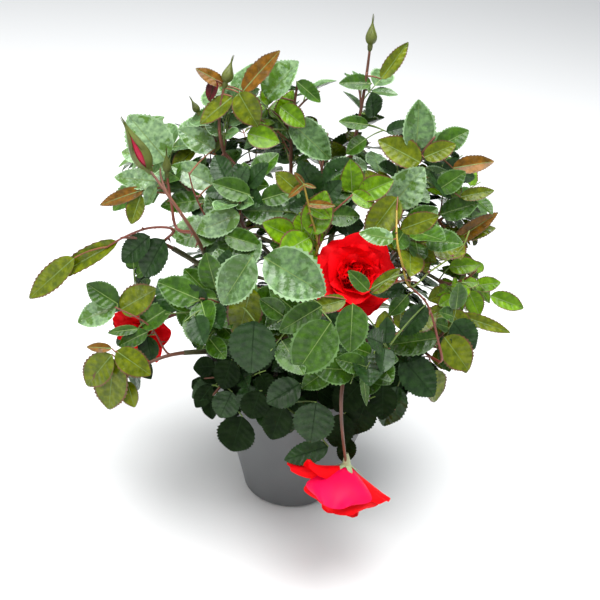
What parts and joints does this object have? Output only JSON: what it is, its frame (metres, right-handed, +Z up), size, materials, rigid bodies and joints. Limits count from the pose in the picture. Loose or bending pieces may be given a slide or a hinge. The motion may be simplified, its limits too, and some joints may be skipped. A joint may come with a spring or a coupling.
{
  "type": "potted rose bush",
  "caption": "Bushy garden rose with full red blooms, slim buds and glossy toothed leaves on arching canes, growing in a tapered grey plastic pot.",
  "frame": {"origin": "centre of the pot's flat underside", "axes": "+Z up, -Y towards the front from which the plant is seen, +X to the right of that view"},
  "size_m": [0.5303, 0.4424, 0.5609],
  "materials": {
    "pot": "slate grey moulded plastic with a satin surface and faint dusty marks",
    "compost": "dark moist bark compost with small lumps and chips",
    "crown_wood": "rough grey-brown bark of the grafted foot",
    "canes": "smooth green to red-brown rind with thorns",
    "leaves": "glossy toothed leaflets from dark green to olive and bronze, with red blooms and green buds"
  },
  "bodies": {
    "root": {"pot": "pot", "compost": "compost", "crown_stem": "crown_wood", "cane_right": "canes", "cane_right_back": "canes", "cane_back": "canes", "cane_top": "canes", "cane_left": "canes", "cane_front_left": "canes", "cane_front": "canes", "cane_front_right": "canes", "bough_right_fresh": "canes", "bough_right_top": "canes", "bough_back_right": "canes", "bough_back_left": "canes", "bough_back_low_left": "canes", "bough_back_low_right": "canes", "bough_top_left": "canes", "bough_left_top": "canes", "bough_left_bud": "canes", "bough_left_bloom": "canes", "bough_front_left": "canes", "bough_main_bloom": "canes", "bough_middle": "canes", "bough_middle_left": "canes", "bough_right_middle": "canes", "bough_front_right": "canes", "bough_hanging": "canes", "foliage_right_bud": "leaves", "foliage_right_top": "leaves", "foliage_right_side": "leaves", "foliage_right_fresh": "leaves", "foliage_right_low": "leaves", "foliage_top_left_bud": "leaves", "foliage_top_middle": "leaves", "foliage_left_bud": "leaves", "foliage_left_top": "leaves", "foliage_far_left": "leaves", "foliage_left_bloom": "leaves", "foliage_lower_left": "leaves", "foliage_middle_top": "leaves", "foliage_middle_left": "leaves", "foliage_right_middle": "leaves", "foliage_front_left": "leaves", "foliage_front_middle": "leaves", "foliage_main_bloom": "leaves", "foliage_front_right": "leaves", "foliage_hanging_bloom": "leaves", "foliage_skirt_left": "leaves", "foliage_skirt_front": "leaves", "foliage_skirt_right": "leaves", "foliage_back_left": "leaves", "foliage_back_middle": "leaves", "foliage_back_right": "leaves", "foliage_back_low_left": "leaves", "foliage_back_low_right": "leaves", "foliage_skirt_back": "leaves"}
  },
  "joints": []
}
